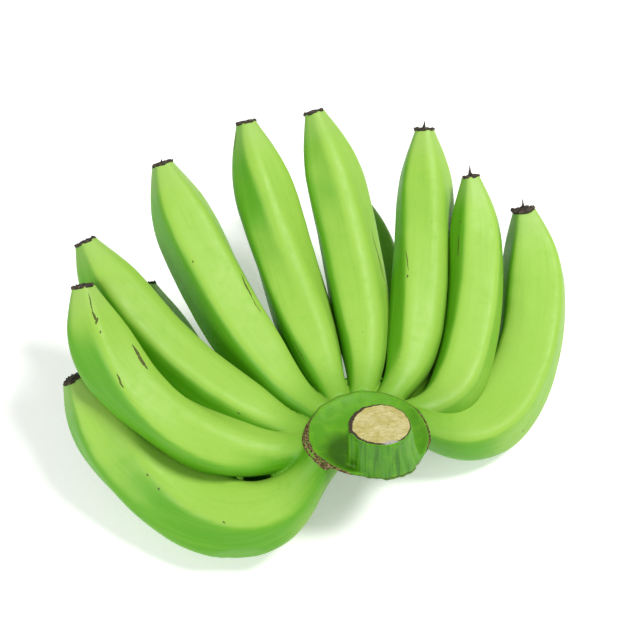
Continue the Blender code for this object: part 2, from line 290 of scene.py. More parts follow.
class Shape:
    """One finger's form: its middle line, the frames along it and its radius all round."""

    def __init__(self, number, finger):
        self.number = number
        self.finger = finger
        self.name = f"finger_{number:02d}"
        self.length = finger.length * MM
        self.half = 0.5 * finger.thickness * MM
        around = math.radians(finger.around)
        out = ROOT_RADII[finger.row]
        root = from_crown((out * math.sin(around), out * math.cos(around), -ROOT_DEPTHS[finger.row]))
        middle = (np.arange(PATH_STEPS) + 0.5) / PATH_STEPS
        headings = bent(finger, middle, finger.heading)
        rises = bent(finger, middle, finger.rise)
        steps = direction(headings, rises) * self.length / PATH_STEPS
        self.points = np.vstack((root, root + np.cumsum(steps, axis=0)))
        rng = np.random.default_rng(700 + number)
        even = (360.0 - finger.gap) / 4.0
        corners = finger.ridge + np.append(0.0, finger.gap + even * np.arange(4))
        corners[2:4] += rng.uniform(-6.0, 6.0, 2)
        self.corners = np.radians(corners)
        after = np.append(self.corners[1:], self.corners[0] + math.tau)
        self.faces = 0.5 * (self.corners + after)
        self.reach = np.cos(0.5 * (after - self.corners)) / math.cos(math.radians(36.0))
        self.reach = np.maximum(self.reach, FACE_REACH) * rng.uniform(0.99, 1.015, 5)
        self.soft_corner = self.corners[1] if finger.soft > 0 else self.corners[4]
        self.turn = math.radians(finger.turn)
        self.slim = SLIM_NECK if number in BACK_FINGERS else 0.0
        self.join = BACK_JOIN if number in BACK_FINGERS else SIDE_JOIN
        self.phases = rng.uniform(0.0, math.tau, 2 * len(SWELLS))

    def frame_at(self, share):
        """Centre, side, upward and forward directions at shares of the length."""
        share = np.asarray(share, dtype=float)
        inside = np.clip(share, 0.0, 1.0)
        place = inside * PATH_STEPS
        steps = np.arange(PATH_STEPS + 1)
        centre = np.stack([np.interp(place, steps, self.points[:, axis]) for axis in range(3)], axis=-1)
        heading = bent(self.finger, inside, self.finger.heading)
        forward = direction(heading, bent(self.finger, inside, self.finger.rise))
        side = np.stack((np.cos(heading), -np.sin(heading), np.zeros_like(heading)), axis=-1)
        upward = np.cross(side, forward)
        beyond = (share - inside) * self.length
        return centre + forward * beyond[..., None], side, upward, forward

    def points_round(self, share, angle, radius):
        """Points at a distance from the middle line, at shares of the length and angles round it."""
        centre, side, upward, _ = self.frame_at(share)
        return (centre + side * (np.cos(angle) * radius)[..., None]
                + upward * (np.sin(angle) * radius)[..., None])

    def wound(self, share, angle):
        """The angle round a finger, counted along with its winding ridges."""
        return angle - self.turn * (np.clip(share, 0.05, 0.95) - 0.5)

    def rounding(self, turned):
        """1 at the ridge that this finger has rounded off, 0 away from it."""
        off = turned_away(turned, self.soft_corner)
        return abs(self.finger.soft) * np.exp(-(off / CORNER_HALF) ** 2)

    def radius(self, share, angle):
        """Distance of the skin from the middle line: rounded five-sided, with slight dents and swells."""
        inside = np.clip(share, 0.0, 1.0)
        turned = self.wound(share, angle)
        sharp = CORNER_BODY * np.sin(math.pi * (0.02 + 0.88 * inside)) ** 0.9 * smooth_step(inside / 0.35)
        sharp = sharp + CORNER_TIP * np.exp(-((inside - 0.82) / 0.12) ** 2)
        sharp = CORNER_LEAST + sharp * (1.0 - CORNER_LOSS * self.rounding(turned))
        section = pentagon(turned, self.faces, self.reach, sharp)
        swell = 0.0
        for number, (height, along, count) in enumerate(SWELLS):
            first, second = self.phases[2 * number:2 * number + 2]
            swell = swell + height * np.sin(along * inside + first) * np.cos(count * angle + second)
        slim = 1.0 - self.slim * np.exp(-(inside * self.length / SLIM_LENGTH) ** 2)
        full = self.half * girth(self.finger, share) * section * (1.0 + swell)
        return full * slim + self.pressed(inside, angle)

    def pressed(self, inside, angle):
        """Height of this finger's bulges and dents."""
        height = 0.0
        for number, middle, half, turn, width, rise in PRESSED:
            if number == self.number:
                off = np.degrees(turned_away(angle, math.radians(turn)))
                height = height + rise * MM * np.exp(-((inside - middle) / half) ** 2 - (off / width) ** 2)
        return height

    def ridge(self, share, angle):
        """1 on a ridge between two faces and 0 on the middle of a face."""
        turned = self.wound(share, angle)
        nearest = np.max([np.cos(turned - corner) for corner in self.corners], axis=0)
        start = math.cos(RIDGE_HALF)
        return smooth_step((nearest - start) / (1.0 - start)) * (1.0 - 0.9 * self.rounding(turned))


SHAPES = [Shape(number, finger) for number, finger in enumerate(FINGERS, 1)]


def keep_in_box(points):
    """Hold a piece between the surface that the hand lies on and the solid's own box."""
    low = np.array(cad_box[0]) + BOX_MARGIN
    high = np.array(cad_box[1]) - BOX_MARGIN
    low[2] = 0.0
    return np.clip(points, low, high)


def new_object(name, data):
    """Put a mesh, a lamp or a camera into the scene."""
    obj = bpy.data.objects.new(name, data)
    bpy.context.scene.collection.objects.link(obj)
    return obj


def new_mesh_object(name, vertices, faces, closed=True):
    """A mesh whose faces look outwards; an open one keeps the way its faces were given."""
    mesh = bpy.data.meshes.new(name)
    mesh.from_pydata(np.asarray(vertices).tolist(), [], [list(face) for face in faces])
    mesh.validate()
    if closed:
        outward = bmesh.new()
        outward.from_mesh(mesh)
        bmesh.ops.recalc_face_normals(outward, faces=outward.faces[:])
        outward.to_mesh(mesh)
        outward.free()
    mesh.shade_smooth()
    return new_object(name, mesh)


def set_attribute(obj, name, values):
    """Store one number or one vector a vertex, for the materials to read."""
    values = np.asarray(values, dtype=np.float32)
    kind, key = ("FLOAT", "value") if values.ndim == 1 else ("FLOAT_VECTOR", "vector")
    layer = obj.data.attributes.new(name, kind, "POINT")
    layer.data.foreach_set(key, values.ravel())


def paint_light_and_shade(obj, most=1.0):
    """Painted light and shade: 1 where the peel looks up or to the right, towards the lamps, and 0 where it
    looks sideways or down. Faces at 1 take the paler green as painted light and the rest take painted shade;
    a lower top value dims it all, painting shade on parts that lie under others.
    """
    normals = np.empty(len(obj.data.vertices) * 3, dtype=np.float32)
    obj.data.vertex_normals.foreach_get("vector", normals)
    right, back, up = normals.reshape(-1, 3).T
    painted_light = smooth_step((up + 0.30 * right + 0.20 * back - 0.25) / 0.60)
    set_attribute(obj, "painted_light", most * np.maximum(painted_light, 0.60 * smooth_step((right - 0.20) / 0.50)))


def place_piece(obj, material):
    """Give a piece its material and enter it as a part of the hand."""
    obj.data.materials.clear()
    obj.data.materials.append(material)
    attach(obj, BODY)
    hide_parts(NODE)


class Nodes:
    """A short way to write a material's node tree."""

    def __init__(self, name):
        self.material = bpy.data.materials.new(name)
        self.material.use_nodes = True
        self.tree = self.material.node_tree
        self.shader = self.tree.nodes["Principled BSDF"]

    def add(self, kind, **settings):
        node = self.tree.nodes.new(kind)
        for key, value in settings.items():
            setattr(node, key, value)
        return node

    def link(self, source, target):
        self.tree.links.new(source, target)

    def feed(self, socket, value):
        if isinstance(value, bpy.types.NodeSocket):
            self.link(value, socket)
        else:
            socket.default_value = value

    def math(self, operation, first, second=0.0):
        node = self.add("ShaderNodeMath", operation=operation)
        self.feed(node.inputs[0], first)
        self.feed(node.inputs[1], second)
        return node.outputs[0]

    def times(self, first, second):
        return self.math("MULTIPLY", first, second)

    def span(self, value, low, high, out_low=0.0, out_high=1.0):
        """The value's way from low to high, eased and drawn out between the last two numbers."""
        node = self.add("ShaderNodeMapRange", interpolation_type="SMOOTHSTEP")
        self.feed(node.inputs["Value"], value)
        self.feed(node.inputs["From Min"], low)
        self.feed(node.inputs["From Max"], high)
        self.feed(node.inputs["To Min"], out_low)
        self.feed(node.inputs["To Max"], out_high)
        return node.outputs["Result"]

    def mix(self, share, first, second):
        node = self.add("ShaderNodeMix", data_type="RGBA")
        self.feed(node.inputs[0], share)
        self.feed(node.inputs[6], first)
        self.feed(node.inputs[7], second)
        return node.outputs[2]

    def attribute(self, name):
        return self.add("ShaderNodeAttribute", attribute_name=name)

    def place(self):
        return self.add("ShaderNodeTexCoord").outputs["Object"]

    def noise(self, vector, scale, detail=3.0, rough=0.5):
        node = self.add("ShaderNodeTexNoise")
        self.feed(node.inputs["Vector"], vector)
        node.inputs["Scale"].default_value = scale
        node.inputs["Detail"].default_value = detail
        node.inputs["Roughness"].default_value = rough
        return node.outputs["Fac"]

    def stretched(self, vector, scale):
        node = self.add("ShaderNodeVectorMath", operation="MULTIPLY")
        self.feed(node.inputs[0], vector)
        node.inputs[1].default_value = scale
        return node.outputs[0]

    def dots(self, vector, scale, radius, chance):
        """Small round spots, one in some of the cells of a random pattern."""
        node = self.add("ShaderNodeTexVoronoi")
        self.feed(node.inputs["Vector"], vector)
        node.inputs["Scale"].default_value = scale
        near = self.span(node.outputs["Distance"], radius, radius * 0.45)
        pick = self.add("ShaderNodeSeparateColor")
        self.link(node.outputs["Color"], pick.inputs[0])
        return self.times(near, self.math("LESS_THAN", pick.outputs[0], chance))

    def bump(self, height, strength, distance, normal=None):
        node = self.add("ShaderNodeBump")
        node.inputs["Strength"].default_value = strength
        node.inputs["Distance"].default_value = distance
        self.link(height, node.inputs["Height"])
        if normal is not None:
            self.link(normal, node.inputs["Normal"])
        return node.outputs["Normal"]

    def finish(self, colour_out, roughness, normal):
        self.link(colour_out, self.shader.inputs["Base Color"])
        self.link(roughness, self.shader.inputs["Roughness"])
        self.link(normal, self.shader.inputs["Normal"])
        return self.material


def colour(red, green, blue):
    return (red, green, blue, 1.0)


# Colours in linear light: first the peel, the crown and the stub.
# The next two are one green painted twice: in painted shade for flanks turned from the lamps, in painted
# light for upper faces.
PAINTED_SHADE_GREEN = colour(0.085, 0.335, 0.0005)
PAINTED_LIT_GREEN = colour(0.280, 0.500, 0.060)
PALE_STREAK = colour(0.330, 0.560, 0.080)
DEEP_STREAK = colour(0.100, 0.370, 0.004)
MOTTLE = colour(0.100, 0.360, 0.004)
RIDGE = colour(0.300, 0.530, 0.060)
TIP = colour(0.320, 0.500, 0.130)
CROWN_GREEN = colour(0.062, 0.255, 0.0003)
CROWN_MOTTLE = colour(0.150, 0.400, 0.002)
# Dark fibre streaks, laid only on faces turned from the lamps: partly the stub's fibres, partly painted
# shade.
STUB_STREAK_AND_SHADE = colour(0.020, 0.110, 0.0003)
WORN_RIDGE = colour(0.085, 0.105, 0.012)
SPECK = colour(0.030, 0.045, 0.006)
SMALL_SPECK = colour(0.040, 0.090, 0.006)

# The dried flowers, the cork and the scars.
FLOWER_BLACK = colour(0.006, 0.005, 0.004)
FLOWER_BROWN = colour(0.045, 0.030, 0.014)
FLOWER_PAPER = colour(0.270, 0.210, 0.140)
CORK_CRACK = colour(0.040, 0.028, 0.009)
CORK_BROWN = colour(0.190, 0.140, 0.052)
CORK_TAN = colour(0.420, 0.340, 0.165)
CORK_STAIN = colour(0.050, 0.032, 0.012)
SCAR_DARK = colour(0.030, 0.042, 0.004)
SCAR_OLIVE = colour(0.105, 0.125, 0.012)

# The stalk's cut and the table.
PITH = colour(0.430, 0.380, 0.120)
PALE_PITH = colour(0.520, 0.475, 0.220)
FIBRE = colour(0.300, 0.240, 0.055)
PALE_FIBRE = colour(0.640, 0.590, 0.330)
PORE = colour(0.150, 0.100, 0.025)
CUT_EDGE = colour(0.040, 0.026, 0.012)
WEATHERED = colour(0.420, 0.400, 0.410)
TABLE_LOW = colour(0.90, 0.90, 0.90)
TABLE_HIGH = colour(0.93, 0.93, 0.93)
TABLE_GLOW = 0.30


def peel_material():
    """Waxy green peel: painted light on its upper faces and painted shade on its flanks, lengthwise streaks,
    soft mottling, small dark specks.
    """
    n = Nodes("green_peel_skin")
    place = n.attribute("peel_place").outputs["Vector"]
    marks = n.add("ShaderNodeSeparateXYZ")
    n.link(n.attribute("peel_marks").outputs["Vector"], marks.inputs[0])
    ridge, tip, crown = marks.outputs[0], marks.outputs[1], marks.outputs[2]
    painted_light = n.attribute("painted_light").outputs["Fac"]
    around = n.place()

    clouds = n.noise(around, 24.0, 3.0, 0.5)
    mottle = n.noise(around, 160.0, 4.0, 0.6)
    streaks = n.noise(n.stretched(place, (420.0, 420.0, 20.0)), 1.0, 3.0, 0.6)
    fine_streaks = n.noise(n.stretched(place, (1400.0, 1400.0, 55.0)), 1.0, 2.0, 0.5)

    # Painted light and shade: paler green on faces turned to the lamps, darker green on the flanks, with
    # random clouds of tone over both.
    painted_light_and_tone = n.math("ADD", painted_light, n.span(clouds, 0.30, 0.70, -0.12, 0.12))
    base = n.mix(n.span(painted_light_and_tone, 0.0, 1.0), PAINTED_SHADE_GREEN, PAINTED_LIT_GREEN)
    base = n.mix(n.times(n.span(streaks, 0.35, 0.75), 0.14), base, PALE_STREAK)
    base = n.mix(n.times(n.span(streaks, 0.50, 0.25), 0.14), base, DEEP_STREAK)
    base = n.mix(n.times(n.span(mottle, 0.52, 0.78), 0.16), base, MOTTLE)
    base = n.mix(n.times(ridge, 0.10), base, RIDGE)
    base = n.mix(n.times(tip, 0.45), base, TIP)
    base = n.mix(n.times(crown, 0.92), base, CROWN_GREEN)
    base = n.mix(n.times(n.times(crown, n.span(mottle, 0.46, 0.70)), 0.45), base, CROWN_MOTTLE)
    grain = n.noise(n.stretched(place, (650.0, 650.0, 25.0)), 1.0, 3.0, 0.6)
    # Dark streaks on the crown's faces turned from the lamps: the stub's fibres with painted shade.
    shaded_sides = n.times(crown, n.math("SUBTRACT", 1.0, painted_light))
    base = n.mix(n.times(n.times(shaded_sides, n.span(grain, 0.52, 0.38)), 0.60), base, STUB_STREAK_AND_SHADE)

    specks = n.dots(around, 95.0, 0.040, 0.22)
    small_specks = n.dots(around, 260.0, 0.070, 0.10)
    worn = n.times(ridge, n.span(n.noise(around, 330.0, 5.0, 0.7), 0.64, 0.76))
    base = n.mix(n.times(worn, 0.45), base, WORN_RIDGE)
    base = n.mix(n.times(specks, 0.75), base, SPECK)
    base = n.mix(n.times(small_specks, 0.60), base, SMALL_SPECK)

    rough = n.math("ADD", n.span(mottle, 0.3, 0.7, 0.44, 0.53), n.times(fine_streaks, 0.06))
    normal = n.bump(n.noise(around, 60.0, 2.0, 0.5), 0.12, 0.0010)
    normal = n.bump(streaks, 0.25, 0.00025, normal)
    normal = n.bump(n.noise(around, 1900.0, 3.0, 0.6), 0.22, 0.00006, normal)
    n.shader.inputs["Specular IOR Level"].default_value = 0.34
    n.shader.inputs["Subsurface Weight"].default_value = 0.05
    n.shader.inputs["Subsurface Radius"].default_value = (0.4, 1.0, 0.1)
    n.shader.inputs["Subsurface Scale"].default_value = 0.003
    return n.finish(base, rough, normal)


def dried_material():
    """Dried flower remains: black to brown, with paler papery edges."""
    n = Nodes("dried_flower")
    around = n.place()
    coarse = n.noise(around, 420.0, 4.0, 0.65)
    fine = n.noise(around, 2200.0, 3.0, 0.6)
    papery = n.attribute("papery").outputs["Fac"]
    base = n.mix(n.span(coarse, 0.38, 0.66), FLOWER_BLACK, FLOWER_BROWN)
    base = n.mix(n.times(papery, n.span(fine, 0.48, 0.66)), base, FLOWER_PAPER)
    rough = n.span(fine, 0.3, 0.7, 0.72, 0.95)
    return n.finish(base, rough, n.bump(coarse, 0.8, 0.0006, n.bump(fine, 0.5, 0.0002)))


def cork_material():
    """Dry corky tissue: tan and brown grains with dark cracks."""
    n = Nodes("corky_scar")
    around = n.place()
    grains = n.noise(around, 950.0, 4.0, 0.7)
    patches = n.noise(around, 240.0, 3.0, 0.6)
    proud = n.attribute("proud").outputs["Fac"]
    base = n.mix(n.span(grains, 0.40, 0.62), CORK_CRACK, CORK_BROWN)
    base = n.mix(n.times(proud, n.span(grains, 0.50, 0.68)), base, CORK_TAN)
    base = n.mix(n.times(n.span(patches, 0.50, 0.64), 0.65), base, CORK_STAIN)
    rough = n.span(grains, 0.3, 0.7, 0.80, 0.97)
    n.shader.inputs["Specular IOR Level"].default_value = 0.15
    return n.finish(base, rough, n.bump(grains, 0.9, 0.0004))


def scar_material():
    """Healed scratches on the peel: dark olive to brown."""
    n = Nodes("peel_scar")
    around = n.place()
    grains = n.noise(around, 1100.0, 4.0, 0.7)
    base = n.mix(n.span(grains, 0.35, 0.65), SCAR_DARK, SCAR_OLIVE)
    rough = n.span(grains, 0.3, 0.7, 0.65, 0.85)
    return n.finish(base, rough, n.bump(grains, 0.6, 0.0002))


def cut_material():
    """The stalk's cut: dry cream pith with fibres, browner towards its rim, one grey weathered patch."""
    n = Nodes("cut_stalk")
    around = n.attribute("cut_place").outputs["Vector"]
    rim = n.attribute("cut_rim").outputs["Fac"]
    grey = n.attribute("cut_grey").outputs["Fac"]
    fibres = n.noise(n.stretched(around, (300.0, 900.0, 1.0)), 1.0, 5.0, 0.7)
    pores = n.noise(around, 1500.0, 3.0, 0.7)
    clouds = n.noise(around, 130.0, 3.0, 0.6)
    base = n.mix(n.span(clouds, 0.38, 0.62), PITH, PALE_PITH)
    base = n.mix(n.times(n.span(fibres, 0.50, 0.66), 0.70), base, FIBRE)
    base = n.mix(n.times(n.span(fibres, 0.46, 0.34), 0.60), base, PALE_FIBRE)
    base = n.mix(n.times(n.span(pores, 0.58, 0.70), 0.75), base, PORE)
    ragged = n.math("ADD", rim, n.times(n.math("SUBTRACT", pores, 0.5), 1.1))
    base = n.mix(n.span(ragged, 0.42, 0.72), base, CUT_EDGE)
    base = n.mix(n.times(grey, n.span(pores, 0.35, 0.55)), base, WEATHERED)
    rough = n.span(pores, 0.3, 0.7, 0.82, 0.97)
    return n.finish(base, rough, n.bump(fibres, 0.7, 0.0006, n.bump(pores, 0.6, 0.0002)))


def floor_material():
    """A matt white table that glows a little, so that it comes out white."""
    n = Nodes("white_table")
    base = n.mix(n.noise(n.place(), 3.0, 2.0, 0.5), TABLE_LOW, TABLE_HIGH)
    n.link(base, n.shader.inputs["Base Color"])
    n.shader.inputs["Roughness"].default_value = 0.9
    n.shader.inputs["Specular IOR Level"].default_value = 0.1
    n.shader.inputs["Emission Color"].default_value = colour(1.0, 1.0, 1.0)
    n.shader.inputs["Emission Strength"].default_value = TABLE_GLOW
    return n.material


PEEL = peel_material()
DRIED = dried_material()
CORK = cork_material()
SCAR = scar_material()
CUT = cut_material()


def finger_marks(shape, share, angle):
    """What the peel's colour follows: ridges, the paler bottle neck near the tip, the crown."""
    ridge = shape.ridge(share, angle) * smooth_step((share - 0.12) / 0.2) * smooth_step((1.0 - share) / 0.08)
    tip = smooth_step((share - 0.87) / 0.12)
    crown = 0.55 * (1.0 - smooth_step(share * shape.length / (40.0 * MM)))
    return np.stack((ridge, tip, crown), axis=-1)


def peel_place(shape, share, angle):
    """A place on the peel as a point on a plain rod, so that streaks run lengthwise without a seam."""
    shift = 0.37 * shape.number
    across = np.cos(angle) * shape.half + shift
    return np.stack((across, np.sin(angle) * shape.half, share * shape.length + shift), axis=-1)


def join_dip(past):
    """How deep a skin lies under the other one, at a distance past the place where they change over."""
    early = smooth_step(past / JOIN_BAND)
    late = smooth_step((past - 0.5 * JOIN_BAND) / (2.0 * JOIN_BAND))
    return JOIN_DIP * early + JOIN_SINK * late


def grid_faces(rings, count):
    """Faces between rings of equal count, each closed round."""
    faces = []
    for ring in range(rings - 1):
        low = ring * count
        for index in range(count):
            after = (index + 1) % count
            faces.append((low + index, low + after, low + count + after, low + count + index))
    return faces


def build_finger(shape):
    """A finger's skin from just inside the crown's skin to the rounded end under the dried flower."""
    start = (shape.join - 2.0 * JOIN_BAND) / shape.length
    even = np.linspace(0.0, 1.0, ALONG)
    share = start + (1.0 - start) * (even + 0.06 * np.sin(math.pi * even))
    angle = np.linspace(0.0, math.tau, AROUND, endpoint=False)
    shares, angles = np.meshgrid(share, angle, indexing="ij")
    radius = shape.radius(shares, angles) - join_dip(shape.join - shares * shape.length)
    points = shape.points_round(shares, angles, radius)
    rings = list(points)
    ring_share = list(share)
    end_centre, _, _, end_forward = shape.frame_at(np.array(1.0))
    last = points[-1] - end_centre
    for beyond, shrink in ((0.4 * MM, 0.985), (0.9 * MM, 0.93), (1.3 * MM, 0.80), (1.4 * MM, 0.50)):
        rings.append(end_centre + last * shrink + end_forward * beyond)
        ring_share.append(1.0 + beyond / shape.length)
    count = len(rings)
    caps = np.array([rings[0].mean(axis=0), end_centre + end_forward * 1.45 * MM])
    vertices = keep_in_box(np.concatenate(rings + [caps]))
    faces = grid_faces(count, AROUND)
    for index in range(AROUND):
        after = (index + 1) % AROUND
        faces.append((count * AROUND, after, index))
        faces.append((count * AROUND + 1, (count - 1) * AROUND + index, (count - 1) * AROUND + after))
    obj = new_mesh_object(shape.name, vertices, faces)
    all_share = np.concatenate((np.repeat(ring_share, AROUND), [ring_share[0], ring_share[-1]]))
    all_angle = np.concatenate((np.tile(angle, count), [0.0, 0.0]))
    set_attribute(obj, "peel_place", peel_place(shape, all_share, all_angle))
    set_attribute(obj, "peel_marks", finger_marks(shape, all_share, all_angle))
    # Painted light on the upper faces; the lower row, lying under the upper one, gets mostly painted shade.
    paint_light_and_shade(obj, 0.35 if shape.finger.row else 1.0)
    place_piece(obj, PEEL)


def lip_wobble(around):
    """How far the crown's lip strays from a circle, as a share of its radius: flatter in front."""
    return waves(around, LIP_WAVES) - LIP_FLATTER * np.maximum(-np.sin(around), 0.0) ** 2


def stub_ribs(around, height):
    """How far the stub's fibres stand out and sink in round it, as a share of its radius."""
    degrees = np.degrees(around) % 360.0
    groove = np.exp(-((degrees - GROOVE_PLACE) / GROOVE_HALF) ** 2)
    ribs = waves(around, RIB_WAVES) - GROOVE_DEPTH * groove
    below_cut = smooth_step((STUB_TOP - height) / RIB_FADE)
    return waves(around, STUB_WAVES) + ribs * (RIB_FAINTEST + (1.0 - RIB_FAINTEST) * below_cut)


def outline_distance(radial, height, profile):
    """Signed distance, negative inside, from a body turned round an axis from a profile."""
    places = np.stack((radial, height), axis=-1)
    best = np.full(radial.shape, np.inf)
    inside = np.zeros(radial.shape, dtype=bool)
    closed = np.vstack((profile, profile[:1]))
    for number, (first, second) in enumerate(zip(closed, closed[1:])):
        edge = second - first
        if number < len(profile) - 1:
            along = np.clip(((places - first) @ edge) / (edge @ edge), 0.0, 1.0)
            gap = places - (first + along[:, None] * edge)
            best = np.minimum(best, np.einsum("ij,ij->i", gap, gap))
        if first[1] != second[1]:
            crosses = (first[1] > height) != (second[1] > height)
            level = first[0] + (height - first[1]) * edge[0] / edge[1]
            inside ^= crosses & (radial < level)
    return np.where(inside, -1.0, 1.0) * np.sqrt(best)


def cushion_places(local):
    """Distance from the crown's axis, as if its lip were round and its underside under it, and height."""
    height = local[:, 2]
    order = slice(None, TOP_POINTS - 3, -1)
    shift = np.interp(height, CUSHION_RINGS[order, 1], CUSHION_RINGS[order, 2])
    deep = local[:, 1] - shift
    around = np.arctan2(deep, local[:, 0])
    return np.hypot(local[:, 0], deep) / (1.0 + lip_wobble(around)), height


def over_dish(local):
    """Height over the crown's shallow dish and the slope that the necks make from its lip."""
    radial, height = cushion_places(local)
    top = np.interp(radial, CUSHION_RINGS[:TOP_POINTS, 0], CUSHION_RINGS[:TOP_POINTS, 1])
    return height - top - NECK_RAMP * np.maximum(radial - LIP_RADIUS - 0.4 * MM, 0.0)


def stub_distance(local):
    """Roughly the signed distance from the oval, ribbed stub with its flat top."""
    height = local[:, 2]
    across_half, deep_half, across, deep = (np.interp(height, STUB_STEPS[:, 0], STUB_STEPS[:, column])
                                            for column in (1, 2, 3, 4))
    x = (local[:, 0] - across) / across_half
    y = (local[:, 1] - deep) / deep_half
    around = np.arctan2(y, x)
    side = (np.hypot(x, y) / (1.0 + stub_ribs(around, height)) - 1.0) * np.sqrt(across_half * deep_half)
    ends = np.maximum(height - STUB_TOP, STUB_STEPS[0, 0] - height)
    return smooth_max(side, ends)


def finger_distance(shape, points):
    """Signed distance from a finger near its root, with the share of its length and the angle round it."""
    line = shape.points[:int(PATH_STEPS * 0.55)]
    square = (points ** 2).sum(axis=1)[:, None] - 2.0 * points @ line.T + (line ** 2).sum(axis=1)[None, :]
    nearest = np.argmin(square, axis=1)
    near = square[np.arange(len(points)), nearest] < REACH ** 2
    value = np.full(len(points), FAR)
    share = np.zeros(len(points))
    angle = np.zeros(len(points))
    own = points[near]
    guess = nearest[near] / PATH_STEPS
    centre, side, upward, forward = shape.frame_at(guess)
    guess = np.maximum(guess + np.einsum("ij,ij->i", own - centre, forward) / shape.length, 0.0)
    centre, side, upward, forward = shape.frame_at(guess)
    gap = own - centre
    turn = np.arctan2(np.einsum("ij,ij->i", gap, upward), np.einsum("ij,ij->i", gap, side))
    dip = join_dip(guess * shape.length - shape.join)
    value[near] = np.linalg.norm(gap, axis=1) - shape.radius(guess, turn) + dip
    share[near] = guess
    angle[near] = turn
    return value, share, angle


def blended(values, blend):
    """A union whose inner corners are rounded over about the blend's width, and each part's weight."""
    least = values.min(axis=0)
    parts = np.exp(-(values - least) / blend)
    total = parts.sum(axis=0)
    return least - blend * np.log(total), parts / total


def neck_blend(local):
    """How softly the necks run together: tight at the back, soft at the sides and underneath."""
    away = np.linalg.norm(local, axis=1)
    near = 1.0 - smooth_step((away - 30.0 * MM) / (28.0 * MM))
    under = smooth_step((-local[:, 2] - 8.0 * MM) / (12.0 * MM))
    beside = smooth_step((np.abs(np.arctan2(local[:, 0], local[:, 1])) - 1.15) / 0.5)
    return 0.50 * MM + near ** 1.5 * (0.25 + 1.1 * np.maximum(under, 0.8 * beside)) * MM


def hand_field(points):
    """The blended form: its signed value, each part's weight, and places along and round each finger."""
    local = to_crown(points)
    radial, height = cushion_places(local)
    values = [outline_distance(radial, height, CUSHION_RINGS[:, :2])]
    places = []
    for shape in SHAPES:
        value, share, angle = finger_distance(shape, points)
        values.append(value)
        places.append((share, angle))
    grown, weights = blended(np.array(values), neck_blend(local))
    top = over_dish(local)
    carved = smooth_max(grown, top)
    whole, stub = blended(np.array((carved, stub_distance(local))), 1.1 * MM)
    on_dish = smooth_step((top - grown) / MM)
    weights[0] += on_dish * (1.0 - weights[0])
    weights[1:] *= 1.0 - on_dish
    return whole, np.vstack((weights * stub[0], stub[1:])), places


def in_chunks(points, size=30000):
    """The blended form at many points, worked out a part at a time."""
    found = [hand_field(points[start:start + size]) for start in range(0, len(points), size)]
    value = np.concatenate([part[0] for part in found])
    weights = np.concatenate([part[1] for part in found], axis=1)
    places = [(np.concatenate([part[2][index][0] for part in found]),
               np.concatenate([part[2][index][1] for part in found])) for index in range(len(SHAPES))]
    return value, weights, places


def pull_to_skin(points, rounds):
    """Move points onto the blended form, a few steps along its slope."""
    reach = 0.05 * MM
    for _ in range(rounds):
        value = in_chunks(points)[0]
        slope = np.stack([(in_chunks(points + reach * axis)[0] - value) / reach
                          for axis in np.eye(3)], axis=1)
        size = np.maximum(np.linalg.norm(slope, axis=1), 0.3)
        step = np.clip(value / size, -1.5 * MM, 1.5 * MM)
        points = points - slope / size[:, None] * step[:, None]
    return points


def closed_tube(rings):
    """Vertices and faces of a closed body through rings of equal count."""
    count = len(rings[0])
    faces = grid_faces(len(rings), count)
    faces.append(tuple(reversed(range(count))))
    faces.append(tuple(range((len(rings) - 1) * count, len(rings) * count)))
    return np.concatenate(rings), faces


def joined_bodies(bodies):
    """Several bodies' vertices and faces as one list each."""
    faces = []
    base = 0
    for body_vertices, body_faces in bodies:
        faces.extend(tuple(index + base for index in face) for face in body_faces)
        base += len(body_vertices)
    return np.concatenate([body[0] for body in bodies]), faces


def rough_bodies():
    """Plain overlapping bodies for the crown, the stub and the necks, to be joined into one skin."""
    around = np.linspace(0.0, math.tau, 64, endpoint=False)
    ring = np.stack((np.cos(around), np.sin(around), np.zeros_like(around)), axis=-1)
    cushion = [from_crown(ring * max(radius, 0.5 * MM) + (0.0, shift, height))
               for radius, height, shift in CUSHION_RINGS]
    stub = [from_crown(ring * (across_half, deep_half, 1.0) + (across, deep, height))
            for height, across_half, deep_half, across, deep in STUB_STEPS]
    bodies = [closed_tube(cushion), closed_tube(stub)]
    for shape in SHAPES:
        share = np.linspace(0.0, (shape.join + 5.0 * JOIN_BAND) / shape.length, 24)
        shares, angles = np.meshgrid(share, around, indexing="ij")
        centre, side, upward, forward = shape.frame_at(shares)
        radius = shape.radius(shares, angles)[..., None]
        tube = (centre + side * np.cos(angles)[..., None] * radius
                + upward * np.sin(angles)[..., None] * radius)
        middle = tube[0].mean(axis=0)
        back = [middle + (tube[0] - middle) * shrink - forward[0] * deep
                for deep, shrink in ((8.0 * MM, 0.45), (5.0 * MM, 0.80))]
        bodies.append(closed_tube(back + list(tube)))
    return bodies


def remeshed(obj):
    """The overlapping bodies' outer skin, as even small faces."""
    remesh = obj.modifiers.new("join", "REMESH")
    remesh.mode = "VOXEL"
    remesh.voxel_size = VOXEL
    relax = obj.modifiers.new("relax", "SMOOTH")
    relax.factor = 0.5
    relax.iterations = 3
    graph = bpy.context.evaluated_depsgraph_get()
    mesh = bpy.data.meshes.new_from_object(obj.evaluated_get(graph))
    obj.modifiers.clear()
    obj.data = mesh
    return mesh


